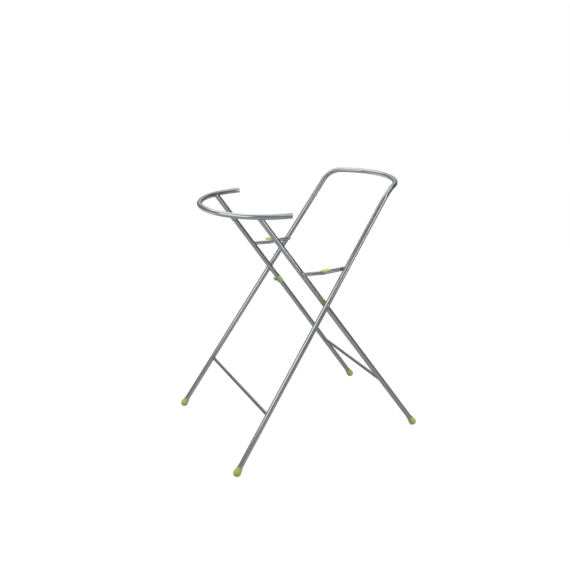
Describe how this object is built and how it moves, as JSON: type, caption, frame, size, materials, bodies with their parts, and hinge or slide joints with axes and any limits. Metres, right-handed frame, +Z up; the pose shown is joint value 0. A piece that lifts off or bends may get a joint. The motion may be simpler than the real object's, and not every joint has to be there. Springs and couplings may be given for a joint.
{
  "type": "folding baby bath stand",
  "caption": "Folding X-frame stand of bent steel tube with a half-round front hoop and a bowed rear bar that carry a baby bath tub, two-link side braces and rubber-like foot caps.",
  "frame": {"origin": "on the floor, at the centre of the open stand's footprint", "axes": "+X across the stand, +Y towards the bowed head bar, +Z up; the half-round hoop is on the -Y side"},
  "size_m": [0.6224, 0.8074, 0.9798],
  "materials": {
    "satin_tube": "satin silver lacquer",
    "brace_steel": "satin silver lacquer",
    "rivet_steel": "plated",
    "lime_plastic": "satin moulded",
    "grey_plastic": "satin moulded"
  },
  "bodies": {
    "tall_frame": {"tall_frame_tube": "satin_tube", "tall_rung": "satin_tube", "tall_foot_left": "lime_plastic", "tall_foot_right": "lime_plastic", "pivot_pin_left": "rivet_steel", "pivot_pin_right": "rivet_steel", "rear_rivet_left": "rivet_steel", "rear_rivet_right": "rivet_steel", "rear_bush_left": "lime_plastic", "rear_bush_right": "lime_plastic"},
    "short_frame": {"short_leg_left": "satin_tube", "short_leg_right": "satin_tube", "hoop_tube": "satin_tube", "short_rung": "satin_tube", "short_foot_left": "lime_plastic", "short_foot_right": "lime_plastic", "hoop_plug_left": "grey_plastic", "hoop_plug_right": "grey_plastic", "pivot_spacer_left": "lime_plastic", "pivot_spacer_right": "lime_plastic", "front_rivet_left": "rivet_steel", "front_rivet_right": "rivet_steel", "front_washer_left": "rivet_steel", "front_washer_right": "rivet_steel", "hose_hook": "lime_plastic", "upper_clip": "lime_plastic"},
    "front_link_left": {"front_link_left": "brace_steel", "elbow_rivet_inner_left": "rivet_steel"},
    "front_link_right": {"front_link_right": "brace_steel", "elbow_rivet_inner_right": "rivet_steel"},
    "rear_link_left": {"rear_link_left": "brace_steel", "press_tab_left": "lime_plastic", "elbow_rivet_outer_left": "rivet_steel"},
    "rear_link_right": {"rear_link_right": "brace_steel", "press_tab_right": "lime_plastic", "elbow_rivet_outer_right": "rivet_steel"}
  },
  "joints": [
    {"name": "fold", "type": "hinge", "parent": "tall_frame", "child": "short_frame", "pos_m": [0, -0.01334, 0.57385], "axis": [-1, 0, 0], "range_deg": [0, 48]},
    {"name": "front_link_left_pivot", "type": "hinge", "parent": "short_frame", "child": "front_link_left", "pos_m": [0, -0.09792, 0.692], "axis": [1, 0, 0], "range_deg": [0, 97.5]},
    {"name": "rear_link_left_pivot", "type": "hinge", "parent": "tall_frame", "child": "rear_link_left", "pos_m": [0, 0.06709, 0.694], "axis": [-1, 0, 0], "range_deg": [0, 98.5]},
    {"name": "front_link_right_pivot", "type": "hinge", "parent": "short_frame", "child": "front_link_right", "pos_m": [0, -0.09792, 0.692], "axis": [1, 0, 0], "range_deg": [0, 97.5]},
    {"name": "rear_link_right_pivot", "type": "hinge", "parent": "tall_frame", "child": "rear_link_right", "pos_m": [0, 0.06709, 0.694], "axis": [-1, 0, 0], "range_deg": [0, 98.5]}
  ],
  "couplings": [
    {"joint": "front_link_left_pivot", "follows": "fold", "ratio": 2.0253},
    {"joint": "rear_link_left_pivot", "follows": "fold", "ratio": 2.0481},
    {"joint": "front_link_right_pivot", "follows": "fold", "ratio": 2.0253},
    {"joint": "rear_link_right_pivot", "follows": "fold", "ratio": 2.0481}
  ]
}
